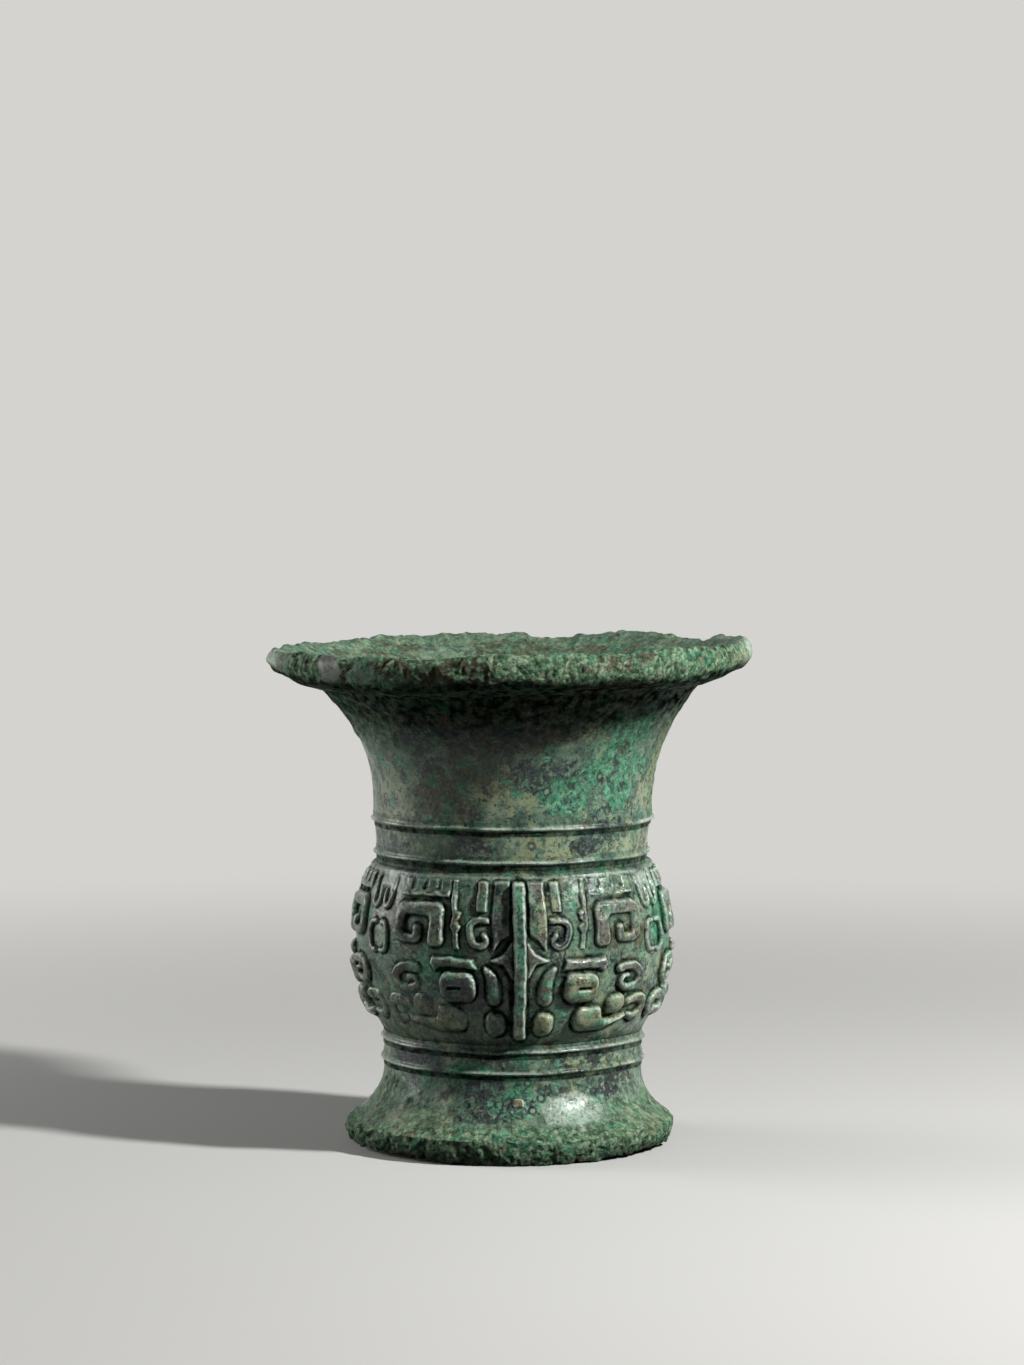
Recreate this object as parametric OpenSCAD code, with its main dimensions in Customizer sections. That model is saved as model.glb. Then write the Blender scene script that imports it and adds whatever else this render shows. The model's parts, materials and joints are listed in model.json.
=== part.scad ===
// Archaic bronze zun: a wide-mouthed wine vessel on a hollow ring foot, with a flared neck,
// raised string bands and relief animal masks round the belly.
// The axis is +Z, the foot stands on z = 0, and the front mask faces -Y. Lengths are in millimetres.

/* [Walls] */
// Thickness of the neck, belly and foot walls
wall_t = 3.5; // [2.5:0.1:5]
// Thickness of the neck's wall, measured level, where its flare turns out into the brim
neck_top_t = 5.5; // [3.5:0.1:8]
// Thickness of the belly's floor
floor_t = 4; // [3:0.5:6]
// Width of the foot's top edge that carries the floor
floor_ledge_w = 1.5; // [1:0.1:2]

/* [Foot] */
// Height of the foot's standing edge
foot_edge_h = 12; // [8:0.5:16]
// Outer radius of the standing edge
foot_edge_r = 82; // [76:0.5:90]
// Width of the standing edge where the foot meets it
foot_edge_w = 6.5; // [5:0.5:8]
// Inset of the standing edge's outer corner at the table
foot_edge_inset_w = 2; // [1:0.5:4]
// Height of the flared part of the foot
foot_flare_h = 27.5; // [20:0.5:40]
// Sharpness of the foot's flare
foot_flare_power = 2.3; // [1.5:0.1:3]
// Height of the straight collar above the flare
foot_collar_h = 18; // [16:1:24]
// Outer radius of the collar
foot_collar_r = 64.7; // [60:0.1:68]

/* [Belly] */
// Height of the belly's bulge
belly_h = 82; // [72:1:95]
// Outer radius at the top of the bulge
belly_top_r = 71.3; // [66:0.1:76]
// How far the bulge stands out from a straight line between its two ends
belly_bulge_w = 10.5; // [8:0.5:14]
// Height of the rounded shoulder over the bulge
shoulder_h = 3; // [2:0.5:5]

/* [Neck] */
// Width of the step from the belly's top in to the neck
shoulder_w = 3.3; // [2:0.1:6]
// Height of the neck's straight collar
neck_collar_h = 24.3; // [22:0.1:30]
// How much wider the collar is at its top than at its bottom
neck_spread_w = 1.3; // [0:0.1:3]
// Height of the flared part of the neck
neck_flare_h = 63.7; // [50:0.1:75]
// Sharpness of the neck's flare
neck_flare_power = 2.4; // [1.8:0.1:3]

/* [Mouth] */
// Outer radius of the mouth lip
lip_r = 120.5; // [112:0.5:130]
// Width of the crusted lip, from its edge in to the brim
lip_w = 16.5; // [12:0.5:20]
// Width of the brim, from the lip in to the flare
brim_w = 9; // [5:0.5:12]
// Thickness of the brim where it meets the lip
brim_t = 10; // [6:0.5:12]
// Rise of the brim's underside out to the lip's lower edge
brim_rise_h = 7; // [4:0.5:10]
// Height of the lip's edge
lip_h = 14.2; // [10:0.1:18]
// Rounding of the lip's edge
lip_round_r = 2.5; // [1:0.5:4]

/* [String bands] */
// Height of one string band
string_w = 3.2; // [2:0.2:4]
// How far a string band stands out from the wall
string_depth = 1.8; // [1:0.1:2.5]
// Height of the lower neck string above the collar's bottom
neck_string_low_h = 4.8; // [3:0.1:6]
// Spacing of the two neck strings
neck_string_gap_h = 16.5; // [10:0.5:17]
// Height of the lower foot string above the collar's bottom
foot_string_low_h = 4.1; // [3:0.1:5]
// Spacing of the two foot strings
foot_string_gap_h = 10.5; // [6:0.5:11]

/* [Masks] */
// How far the nose flange stands out from the belly
flange_h = 5.5; // [4:0.5:8]
// Relief of the boldest features, such as the eyes
relief_bold_h = 4.4; // [2.5:0.1:5]
// Relief of the main features, such as the horns
relief_main_h = 2.8; // [2:0.1:4]
// Relief of the low features, such as the forehead
relief_low_h = 1.6; // [1:0.1:2.4]
// Depth of the slot in an eye
pupil_depth = 1.6; // [0.5:0.1:2]

/* [Casting spacers] */
// Length of a spacer along the wall
spacer_l = 5.6; // [4:0.2:8]
// Height of a spacer
spacer_h = 4.2; // [3:0.2:6]
// Height of the foot spacers above the table
foot_spacer_z = 29.5; // [22:0.5:36]
// Height of the neck spacers below the brim
neck_spacer_drop_h = 11; // [8:0.5:30]
// Angle from a mask's nose round to a neck spacer
neck_spacer_turn = -24.5; // [-60:0.5:60]

/* [Hidden] */
MASKS = ["front", "right", "left"];
FEATURES = ["nose_flange", "forehead_panels", "forehead_hooks", "quills", "crests", "horns", "brows",
    "eyes", "ears", "snouts", "nostrils", "jaws", "cheeks", "tails", "side_hooks"];
$fn = 180;

// Colours of the patina
SMOOTH_GREEN = [0.40, 0.50, 0.42];
CRUSTED_GREEN = [0.34, 0.45, 0.35];
RUBBED_GREEN = [0.50, 0.56, 0.48];
POLISHED_OLIVE = [0.48, 0.50, 0.38];
COPPER_BROWN = [0.40, 0.31, 0.20];

// Radii that follow from the ones beside them
neck_r = belly_top_r - shoulder_w;
neck_flare_r = neck_r + neck_spread_w;
lip_seat_r = lip_r - lip_w;
brim_r = lip_seat_r - brim_w;

// Heights of the seams
foot_flare_top = foot_edge_h + foot_flare_h;
belly_z = foot_flare_top + foot_collar_h;
belly_top_z = belly_z + belly_h;
neck_z = belly_top_z + shoulder_h;
neck_flare_z = neck_z + neck_collar_h;
brim_z = neck_flare_z + neck_flare_h;
lip_low_z = brim_z + brim_rise_h;
lip_top_z = lip_low_z + lip_h;
lip_seat_z = brim_z + brim_rise_h * brim_w / (brim_w + lip_w);

// Number of straight steps in each curved profile
PROFILE_STEPS = 12;

// Turns a list of points round
function reversed(points) = [for (i = [len(points) - 1:-1:0]) points[i]];

// Direction from p to q, and the direction to the right of it
function heading(p, q) = (q - p) / norm(q - p);
function rightward(p, q) = let (along = heading(p, q)) [along[1], -along[0]];

// Radius and centre of the circle through p and q that stands out by rise to the right of the line p to q
function arc_radius(p, q, rise) = (pow(norm(q - p) / 2, 2) + rise * rise) / (2 * rise);
function arc_centre(p, q, rise) = (p + q) / 2 - rightward(p, q) * (arc_radius(p, q, rise) - rise);

// Points along that circle from p to q
function arc_between(p, q, rise, steps = PROFILE_STEPS) =
    let (radius = arc_radius(p, q, rise), half = asin(norm(q - p) / 2 / radius))
    [for (i = [0:steps])
        let (a = half * (2 * i / steps - 1))
        arc_centre(p, q, rise) + radius * (rightward(p, q) * cos(a) + heading(p, q) * sin(a))];

// Points on a trumpet curve that leaves p straight along Z and opens out to q
function trumpet(p, q, power, steps = PROFILE_STEPS) =
    [for (i = [0:steps])
        let (t = i / steps)
        [p[0] + (q[0] - p[0]) * pow(t, power), p[1] + (q[1] - p[1]) * t]];

// Outer profiles of the three hollow sections, from the bottom up
foot_outer = concat(
    reversed(trumpet([foot_collar_r, foot_flare_top], [foot_edge_r, foot_edge_h], foot_flare_power)),
    [[foot_collar_r, belly_z]]);
belly_low = [foot_collar_r, belly_z];
belly_high = [belly_top_r, belly_top_z];
belly_bulge_outer = arc_between(belly_low, belly_high, belly_bulge_w);
neck_outer = concat(
    [[neck_r, neck_z]],
    trumpet([neck_flare_r, neck_flare_z], [brim_r, brim_z], neck_flare_power),
    [[lip_seat_r, lip_seat_z]]);

// Inner profiles of the same sections, from the bottom up
foot_inner_r = foot_collar_r - wall_t;
floor_r = foot_inner_r + floor_ledge_w;
foot_edge_inner_r = foot_edge_r - foot_edge_w;
foot_inner = concat(
    reversed(trumpet([foot_inner_r, foot_flare_top], [foot_edge_inner_r, foot_edge_h], foot_flare_power)),
    [[foot_inner_r, belly_z]]);
belly_inner = concat(
    [[floor_r, belly_z]],
    arc_between([floor_r, belly_z + floor_t], [belly_top_r - wall_t, belly_top_z], belly_bulge_w),
    [[neck_r - wall_t, neck_z]]);
neck_inner = concat(
    [[neck_r - wall_t, neck_z]],
    trumpet([neck_flare_r - wall_t, neck_flare_z], [brim_r - neck_top_t, brim_z], neck_flare_power),
    [[lip_seat_r, lip_seat_z + brim_t]]);

// Outer radius of the neck's collar at a height above its bottom
function neck_collar_r(z) = neck_r + (neck_flare_r - neck_r) * z / neck_collar_h;

module shell(outer, inner) {
    rotate_extrude() polygon(concat(outer, reversed(inner)));
}

// Half-round bead on a wall that runs straight from point low to point high
module string_band(low, high) {
    rotate_extrude() polygon(arc_between(low, high, string_depth));
}

module neck_string(z) {
    color(RUBBED_GREEN) string_band(
        [neck_collar_r(z - string_w / 2), neck_z + z - string_w / 2],
        [neck_collar_r(z + string_w / 2), neck_z + z + string_w / 2]);
}

module foot_string(z) {
    color(RUBBED_GREEN) string_band(
        [foot_collar_r, foot_flare_top + z - string_w / 2],
        [foot_collar_r, foot_flare_top + z + string_w / 2]);
}

// Bars that run out through the wall at a height, each turned by the same angle from a mask's nose
module spacer_bars(z, turn, reach) {
    for (mask = [0:len(MASKS) - 1])
        rotate([0, 0, mask_angle(mask) + turn])
            translate([-spacer_l / 2, -reach, z - spacer_h / 2])
                cube([spacer_l, reach, spacer_h]);
}

module foot_spacer_bars() {
    spacer_bars(foot_spacer_z, 0, foot_edge_r);
}

module neck_spacer_bars() {
    spacer_bars(brim_z - neck_spacer_drop_h, neck_spacer_turn, lip_r);
}

module mouth_lip() {
    color(CRUSTED_GREEN) rotate_extrude() polygon([
        [lip_seat_r, lip_seat_z],
        [lip_r - lip_round_r, lip_low_z - lip_round_r / 2],
        [lip_r, lip_low_z + lip_round_r],
        [lip_r, lip_top_z - lip_round_r],
        [lip_r - lip_round_r, lip_top_z],
        [lip_r - 2 * lip_round_r, lip_top_z - lip_round_r / 4],
        [lip_seat_r, lip_seat_z + brim_t]]);
}

module neck() {
    color(SMOOTH_GREEN) difference() {
        shell(neck_outer, neck_inner);
        neck_spacer_bars();
    }
}

module neck_spacers() {
    color(COPPER_BROWN) intersection() {
        shell(neck_outer, neck_inner);
        neck_spacer_bars();
    }
}

// The shoulder over the bulge is a quarter round between the bulge and the neck
module belly() {
    shoulder_rise = (belly_top_r - neck_r) / 4;
    shoulder_steps = 4;
    shoulder = arc_between([belly_top_r, belly_top_z], [neck_r, neck_z], shoulder_rise, shoulder_steps);
    color(SMOOTH_GREEN) shell(concat(belly_bulge_outer, shoulder), belly_inner);
}

// The floor dips a little in the middle and rests on the foot's top edge
module belly_floor() {
    dip = floor_t / 4;
    color(SMOOTH_GREEN) rotate_extrude() polygon([
        [0, belly_z],
        [floor_r, belly_z],
        [floor_r, belly_z + floor_t],
        [floor_r / 2, belly_z + floor_t - dip],
        [0, belly_z + floor_t - dip]]);
}

module foot() {
    color(SMOOTH_GREEN) difference() {
        shell(foot_outer, foot_inner);
        foot_spacer_bars();
    }
}

module foot_spacers() {
    color(COPPER_BROWN) intersection() {
        shell(foot_outer, foot_inner);
        foot_spacer_bars();
    }
}

module foot_edge() {
    color(CRUSTED_GREEN) rotate_extrude() polygon([
        [foot_edge_inner_r, 0],
        [foot_edge_r - foot_edge_inset_w, 0],
        [foot_edge_r, foot_edge_h / 2],
        [foot_edge_r, foot_edge_h],
        [foot_edge_inner_r, foot_edge_h]]);
}

// Each mask is drawn on a grid: columns run out from its centre line to either side,
// and rows run up the belly.
GRID_ROW_COUNT = 81;
GRID_COLUMN_COUNT = 163;
row_h = belly_h / GRID_ROW_COUNT;
column_deg = 360 / len(MASKS) / GRID_COLUMN_COUNT;

// Outer radius of the belly's bulge at a height
function belly_r(z) =
    let (centre = arc_centre(belly_low, belly_high, belly_bulge_w),
         radius = arc_radius(belly_low, belly_high, belly_bulge_w))
    centre[0] + sqrt(radius * radius - pow(z - centre[1], 2));

function mask_angle(mask) = 360 / len(MASKS) * mask;

// Catmull-Rom point between b and c at t
function spline(a, b, c, d, t) =
    (2 * b + (c - a) * t + (2 * a - 5 * b + 4 * c - d) * t * t + (3 * b - a - 3 * c + d) * t * t * t) / 2;

// A smooth path through points that hold [column, row, width]
function smooth(path, steps) =
    let (last = len(path) - 1)
    concat(
        [for (i = [0:last - 1]) for (k = [0:steps - 1])
            spline(path[max(i - 1, 0)], path[i], path[i + 1], path[min(i + 2, last)], k / steps)],
        [path[last]]);

// Points on a half circle round the end of a stroke, from side to side
CAP_STEPS = 5;
function cap(centre, radius, start) =
    [for (k = [1:CAP_STEPS - 1])
        let (a = start - 180 * k / CAP_STEPS) [centre[0] + radius * cos(a), centre[1] + radius * sin(a)]];

// Outline of a brush stroke with round ends
function stroke(path, steps = 3) =
    let (
        line = smooth(path, steps),
        last = len(line) - 1,
        turn_of = [for (i = [0:last])
            let (d = line[min(i + 1, last)] - line[max(i - 1, 0)]) atan2(d[1], d[0])],
        side = function (i, turn)
            [line[i][0] + line[i][2] / 2 * cos(turn_of[i] + turn),
             line[i][1] + line[i][2] / 2 * sin(turn_of[i] + turn)]
    )
    concat(
        [for (i = [0:last]) side(i, 90)],
        cap(line[last], line[last][2] / 2, turn_of[last] + 90),
        [for (i = [last:-1:0]) side(i, -90)],
        cap(line[0], line[0][2] / 2, turn_of[0] - 90));

// Arc of a radius that rounds the corner q between the straight lines to p and to n
CORNER_STEPS = 4;
function round_corner(p, q, n, radius) =
    let (
        back = heading(q, p),
        on = heading(q, n),
        half = acos(back * on) / 2,
        inward = heading([0, 0], back + on),
        centre = q + inward * radius / sin(half),
        side = sign(cross(back, on))
    )
    [for (k = [0:CORNER_STEPS])
        let (a = side * (90 - half) * (2 * k / CORNER_STEPS - 1))
        centre - radius * [inward[0] * cos(a) + inward[1] * sin(a), inward[1] * cos(a) - inward[0] * sin(a)]];

// Outline through corners that hold [column, row, radius]
function rounded(corners) =
    let (count = len(corners), flat = [for (c = corners) [c[0], c[1]]])
    [for (i = [0:count - 1])
        each round_corner(flat[(i + count - 1) % count], flat[i], flat[(i + 1) % count], corners[i][2])];

// Outline of a box with round corners, from its low corner to its high corner
function rounded_box(low, high, radius) = rounded([
    [low[0], low[1], radius],
    [high[0], low[1], radius],
    [high[0], high[1], radius],
    [low[0], high[1], radius]]);

// Middle column of an outline
function middle(outline) =
    let (columns = [for (p = outline) p[0]]) (min(columns) + max(columns)) / 2;

// The layer of metal that stands out from the belly by a height, between two depths
module belly_layer(from, to) {
    rotate_extrude() polygon(concat(
        [for (p = belly_bulge_outer) p + [from, 0]],
        [for (p = reversed(belly_bulge_outer)) p + [to, 0]]));
}

// A bar that runs straight out from the axis with a grid outline as its section
module outline_bar(outline, side) {
    centre = middle(outline);
    rotate([0, 0, side * centre * column_deg])
        rotate([90, 0, 0])
            linear_extrude(belly_top_r + 2 * belly_bulge_w + 2 * flange_h)
                polygon([for (p = outline)
                    let (z = belly_z + p[1] * row_h)
                    [side * belly_r(z) * sin((p[0] - centre) * column_deg), z]]);
}

module relief(outline, side, height) {
    intersection() {
        belly_layer(0, height);
        outline_bar(outline, side);
    }
}

// The same outline on both sides of a mask's centre line
module pair(outline, height) {
    for (side = [-1, 1]) relief(outline, side, height);
}

// Outlines of the mask's features, in columns and rows
FLANGE = rounded_box([-3.5, 3.5], [3.5, 80.4], 1.4);
NOSE_LOZENGE = [[-15.2, 43.2], [-8, 40.4], [-4.4, 34.6], [0, 32.4], [4.4, 34.6], [8, 40.4],
    [15.2, 43.2], [8, 46.4], [4.6, 52], [0, 53.8], [-4.6, 52], [-8, 46.4]];
FOREHEAD_PANEL = [[4.6, 55.4], [9, 52.7], [13.4, 47.3], [13.4, 80.4], [4.6, 80.4]];
FOREHEAD_STRIP = rounded_box([16, 65.6], [21.6, 80.4], 1.2);
FOREHEAD_HOOK = stroke([[15.7, 61.5, 3], [20.6, 61.7, 3.2], [24, 60, 3.4], [24.6, 55.6, 3.4],
    [23, 51.2, 3.4], [19.4, 49.6, 3.4], [16.4, 52, 3], [17.8, 55, 2.8]]);
QUILL = [[33.6, 80.4], [32.6, 73], [32.2, 66.6], [29.6, 65.4], [30.2, 62.4], [31.6, 61], [29.4, 58.6],
    [30.6, 55.8], [30, 48], [33.2, 48], [33.4, 55], [34.8, 58.8], [34.2, 64], [35.4, 70], [35.8, 80.4]];
HORN = rounded([[47.4, 48.4, 3.4], [46, 63.5, 2.6], [62.2, 63.5, 2.6], [62.2, 54.2, 2.4], [55.6, 54.2, 1.2],
    [56, 59.4, 1.5], [51, 59, 1.7], [51, 49.6, 4.4], [67.9, 49.6, 5.6], [67.9, 69.9, 5.2], [38.3, 69.9, 5.2],
    [38.3, 48.4, 3.6]]);
BROW = [[21, 38.3], [22.8, 43.4], [44.6, 44.1], [46.1, 40.4], [43.8, 36.5], [40.2, 38.7]];
EYE = rounded_box([21.4, 21.4], [40.7, 36.8], 5.7);
PUPIL = rounded_box([28.6, 28.1], [35.8, 29.8], 0.85);
EAR = stroke([[53.6, 37.2, 4.6], [59.8, 37.8, 4.8], [66, 36.2, 5], [69, 31.8, 5.2], [65.8, 28, 4.6],
    [59.6, 27.2, 3.8], [54.6, 29.2, 3.2], [55.8, 32.5, 2.8], [60.2, 32.6, 2.6]]);
SNOUT = stroke([[12.7, 24.4, 8], [12.8, 29.3, 7.6], [14.1, 35, 5.6], [16.9, 38.9, 3.2]]);
NOSTRIL = rounded_box([7, 5.2], [18, 17.4], 4.6);
JAW = rounded([[27.8, 6.6, 6], [47, 6.6, 9], [65.4, 11.2, 0.9], [64.6, 13.6, 0.9], [52, 12.4, 6],
    [45.6, 13.2, 2.4], [43.6, 19.2, 3], [27.8, 19.2, 6]]);
CHEEK = rounded_box([47, 14.6], [59.6, 24.4], 4.8);
TAIL = stroke([[63.6, 19.3, 5.2], [69, 20.6, 5.4], [74.4, 20.1, 5.2], [77.4, 16.6, 4.8], [76, 12.5, 4.6],
    [71.6, 10.8, 4.2], [67.2, 12.2, 3.4]]);
SIDE_HOOK_UPPER = stroke([[73.4, 79.1, 2.4], [73.6, 71.2, 2.6], [75, 66.5, 2.6],
    [77.8, 65.7, 2.6], [79.4, 68.5, 2.6], [79.4, 73.6, 2.4]]);
SIDE_HOOK_LOWER = stroke([[79.4, 58, 2.4], [76.2, 57.5, 2.6], [74.4, 54, 2.6], [74.5, 47.3, 2.6],
    [76.4, 44.1, 2.6], [79.6, 43.8, 2.4]]);

// The crest is a low strip with square teeth along its top:
// its columns, the width of a tooth, and the rows of its foot, gum and tips
CREST_TEETH = 4;
CREST_COLUMNS = [36.9, 66.9];
CREST_TOOTH = 5.6;
CREST_ROWS = [72.4, 75.4, 80.4];
crest_pitch = (CREST_COLUMNS[1] - CREST_COLUMNS[0] - CREST_TOOTH) / (CREST_TEETH - 1);
CREST = [for (i = [0:CREST_TEETH - 1])
    let (column = CREST_COLUMNS[0] + i * crest_pitch)
    each [
        [column, CREST_ROWS[i == 0 ? 0 : 1]],
        [column, CREST_ROWS[2]],
        [column + CREST_TOOTH, CREST_ROWS[2]],
        [column + CREST_TOOTH, CREST_ROWS[i == CREST_TEETH - 1 ? 0 : 1]]]];

module nose_flange() {
    color(RUBBED_GREEN) union() {
        relief(FLANGE, 1, flange_h);
        relief(NOSE_LOZENGE, 1, relief_main_h);
    }
}

module forehead_panels() {
    color(RUBBED_GREEN) pair(FOREHEAD_PANEL, relief_low_h);
}

module forehead_hooks() {
    color(RUBBED_GREEN) pair(FOREHEAD_STRIP, relief_low_h);
    color(RUBBED_GREEN) pair(FOREHEAD_HOOK, relief_low_h);
}

module quills() {
    color(RUBBED_GREEN) pair(QUILL, relief_low_h);
}

module crests() {
    color(RUBBED_GREEN) pair(CREST, relief_low_h);
}

module horns() {
    color(RUBBED_GREEN) pair(HORN, relief_main_h);
}

module brows() {
    color(RUBBED_GREEN) pair(BROW, relief_main_h);
}

// Each eye is a boss with a slot for its pupil
module eyes() {
    color(POLISHED_OLIVE) for (side = [-1, 1]) difference() {
        relief(EYE, side, relief_bold_h);
        intersection() {
            belly_layer(relief_bold_h - pupil_depth, relief_bold_h + pupil_depth);
            outline_bar(PUPIL, side);
        }
    }
}

module ears() {
    color(RUBBED_GREEN) pair(EAR, relief_main_h);
}

module snouts() {
    color(RUBBED_GREEN) pair(SNOUT, relief_main_h);
}

module nostrils() {
    color(POLISHED_OLIVE) pair(NOSTRIL, relief_bold_h);
}

module jaws() {
    color(POLISHED_OLIVE) pair(JAW, relief_bold_h);
}

module cheeks() {
    color(POLISHED_OLIVE) pair(CHEEK, relief_bold_h);
}

module tails() {
    color(RUBBED_GREEN) pair(TAIL, relief_main_h);
}

module side_hooks() {
    color(RUBBED_GREEN) pair(SIDE_HOOK_UPPER, relief_low_h);
    color(RUBBED_GREEN) pair(SIDE_HOOK_LOWER, relief_low_h);
}

mouth_lip();
neck();
neck_string(neck_string_low_h + neck_string_gap_h);  // neck_string_upper
neck_string(neck_string_low_h);  // neck_string_lower
neck_spacers();
belly();
belly_floor();
foot_string(foot_string_low_h + foot_string_gap_h);  // foot_string_upper
foot_string(foot_string_low_h);  // foot_string_lower
foot();
foot_spacers();
foot_edge();
for (mask = [0:len(MASKS) - 1]) rotate([0, 0, mask_angle(mask)]) {
    nose_flange();
    forehead_panels();
    forehead_hooks();
    quills();
    crests();
    horns();
    brows();
    eyes();
    ears();
    snouts();
    nostrils();
    jaws();
    cheeks();
    tails();
    side_hooks();
}
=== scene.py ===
"""Looks of an archaic bronze zun: weathered meshes, patina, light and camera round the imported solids.

Lengths in the mesh code are in millimetres, in the vessel's own frame: +Z is up and the front mask faces -Y.
A place on the vessel is given by its azimuth, in degrees from the front round to the right, and its height.
"""

import functools
import json
import math

import bpy
import numpy as np
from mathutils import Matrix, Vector
from mathutils.bvhtree import BVHTree

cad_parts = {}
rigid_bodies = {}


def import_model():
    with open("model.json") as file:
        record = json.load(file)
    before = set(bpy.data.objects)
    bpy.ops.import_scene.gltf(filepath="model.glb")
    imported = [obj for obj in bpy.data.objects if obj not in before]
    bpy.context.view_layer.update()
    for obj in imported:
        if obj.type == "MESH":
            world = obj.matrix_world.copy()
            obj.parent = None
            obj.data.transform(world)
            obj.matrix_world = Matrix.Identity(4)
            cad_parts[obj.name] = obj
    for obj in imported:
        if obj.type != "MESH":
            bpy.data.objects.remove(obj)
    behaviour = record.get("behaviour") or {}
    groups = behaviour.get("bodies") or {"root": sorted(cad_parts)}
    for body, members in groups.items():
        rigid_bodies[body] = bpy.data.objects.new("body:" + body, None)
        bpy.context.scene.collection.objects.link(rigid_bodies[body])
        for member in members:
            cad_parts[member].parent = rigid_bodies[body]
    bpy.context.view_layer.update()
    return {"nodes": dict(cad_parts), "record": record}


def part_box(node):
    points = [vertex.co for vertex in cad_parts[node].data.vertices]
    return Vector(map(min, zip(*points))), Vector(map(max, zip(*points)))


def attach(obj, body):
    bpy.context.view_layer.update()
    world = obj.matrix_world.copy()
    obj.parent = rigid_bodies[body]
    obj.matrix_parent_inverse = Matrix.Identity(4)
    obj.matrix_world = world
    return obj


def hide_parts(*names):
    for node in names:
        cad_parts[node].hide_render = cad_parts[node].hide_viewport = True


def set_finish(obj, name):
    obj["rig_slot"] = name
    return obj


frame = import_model()

MM = 0.001
TINY = 1e-3

# Pieces of the vessel
SHELLS = ("mouth_lip", "neck", "belly", "foot", "foot_edge")
STRINGS = ("neck_string_upper", "neck_string_lower", "foot_string_upper", "foot_string_lower")
# Darkening of each ring of spacers, painted shade for the neck's ring under the brim, and wear round their
# ends
SPACERS = {"neck_spacers": (0.85, 0), "foot_spacers": (0.15, 0.8)}
SPACER_HALF_L = 2.8
SPACER_PROUD = 0.7
SPACER_SOFTENINGS = 40
MASKS = {"front": 0, "right": 120, "left": -120}
SLOT_OF = {part["node"]: part["material_slot"] for part in frame["record"]["subparts"]}

# Width over which the edges of each feature of a mask are rounded, and how often they are softened after that
EDGES = {
    "nose_flange": (1.8, 2), "forehead_panels": (1.6, 3), "forehead_hooks": (1.4, 2), "quills": (1.4, 2),
    "crests": (1.2, 2), "horns": (2.4, 3), "brows": (2.4, 3), "eyes": (4.4, 2), "ears": (1.9, 3),
    "snouts": (3.0, 4), "nostrils": (4.6, 5), "jaws": (4.0, 5), "cheeks": (4.6, 5), "tails": (2.2, 3),
    "side_hooks": (1.2, 2),
}

# Mesh spacing
TURN_STEPS = 900
OUTSIDE_STEP = 0.75
INSIDE_STEP = 2.2
TURN_CELL = 0.25
RISE_CELL = 0.36
SPACER_VOXEL = 0.36


def smoothstep(low, high, x):
    """0 at low, 1 at high and smooth between them."""
    t = np.clip((x - low) / (high - low), 0, 1)
    return t * t * (3 - 2 * t)


# Noise

LATTICE = 64


@functools.lru_cache(maxsize=None)
def lattice(seed):
    """Random values from -1 to 1 at the corners of a block of cells."""
    return np.random.default_rng(seed).uniform(-1, 1, (LATTICE,) * 3)


def noise(points, size, seed):
    """Smooth noise from -1 to 1 with bumps about size across."""
    table = lattice(seed)
    in_cells = points / size
    low = np.floor(in_cells).astype(int)
    along_x, along_y, along_z = smoothstep(0, 1, in_cells - low).T
    x, y, z = (low % LATTICE).T
    x_next, y_next, z_next = ((low + 1) % LATTICE).T

    def edge(j, k):
        return table[x, j, k] * (1 - along_x) + table[x_next, j, k] * along_x

    def face(k):
        return edge(y, k) * (1 - along_y) + edge(y_next, k) * along_y

    return face(z) * (1 - along_z) + face(z_next) * along_z


def drift(points, size, seed):
    """A vector of noise at each point."""
    return np.stack([noise(points, size, seed + axis) for axis in range(3)], axis=1)


# Places on the vessel


def polar(points):
    """Azimuth in degrees, radius and height of each point."""
    x, y, z = points.T
    return np.degrees(np.arctan2(x, -y)), np.hypot(x, y), z


def place(turn, radius, z):
    """Points at azimuths in degrees, radii and heights."""
    a = np.radians(turn)
    return np.stack(np.broadcast_arrays(radius * np.sin(a), -radius * np.cos(a), z), axis=-1)


def spot(points, azimuth, height, width, tall):
    """1 inside a ragged patch of a width and height round a place on the wall, 0 outside."""
    turn, radius, z = polar(points)
    across = np.radians((turn - azimuth + 180) % 360 - 180) * radius / (width / 2)
    up = (z - height) / (tall / 2)
    reach = np.hypot(across, up)
    near = reach < 1.5
    reach[near] += 0.4 * noise(points[near], min(width, tall) / 3, 71)
    return 1 - smoothstep(0.7, 1.15, reach)


# Patches on the wall: azimuth, height, width and height of each
CRUST_PATCHES = (
    (-72, 216, 64, 26), (84, 199, 45, 80), (-41, 21, 36, 20), (-74, 22, 44, 34), (64, 20, 56, 20),
    (138, 186, 40, 30), (-150, 209, 55, 26), (-118, 24, 44, 16), (160, 22, 50, 18), (108, 66, 30, 12),
    (-165, 64, 40, 14),
)
GREEN_PATCHES = (
    (0, 99, 6, 80), (46, 200, 60, 60), (20, 180, 40, 24), (2, 31, 30, 18), (72, 116, 34, 50),
    (-20, 42, 34, 14), (-30, 100, 40, 30), (150, 174, 60, 50), (-110, 194, 60, 60), (-140, 104, 40, 40),
    (170, 32, 50, 24), (-75, 229, 30, 20),
)
TAN_PATCHES = (
    (-44, 18, 50, 16), (56, 14, 40, 14), (84, 199, 45, 80), (-84, 247, 40, 18), (70, 244, 50, 16),
    (-2, 176, 44, 14), (34, 214, 34, 30), (70, 180, 22, 26), (62, 153, 60, 14), (10, 154, 50, 12),
    (120, 209, 50, 40), (-170, 189, 60, 40), (10, 122, 12, 30), (40, 74, 50, 26), (36, 46, 44, 12),
    (-60, 174, 26, 40),
)
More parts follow.
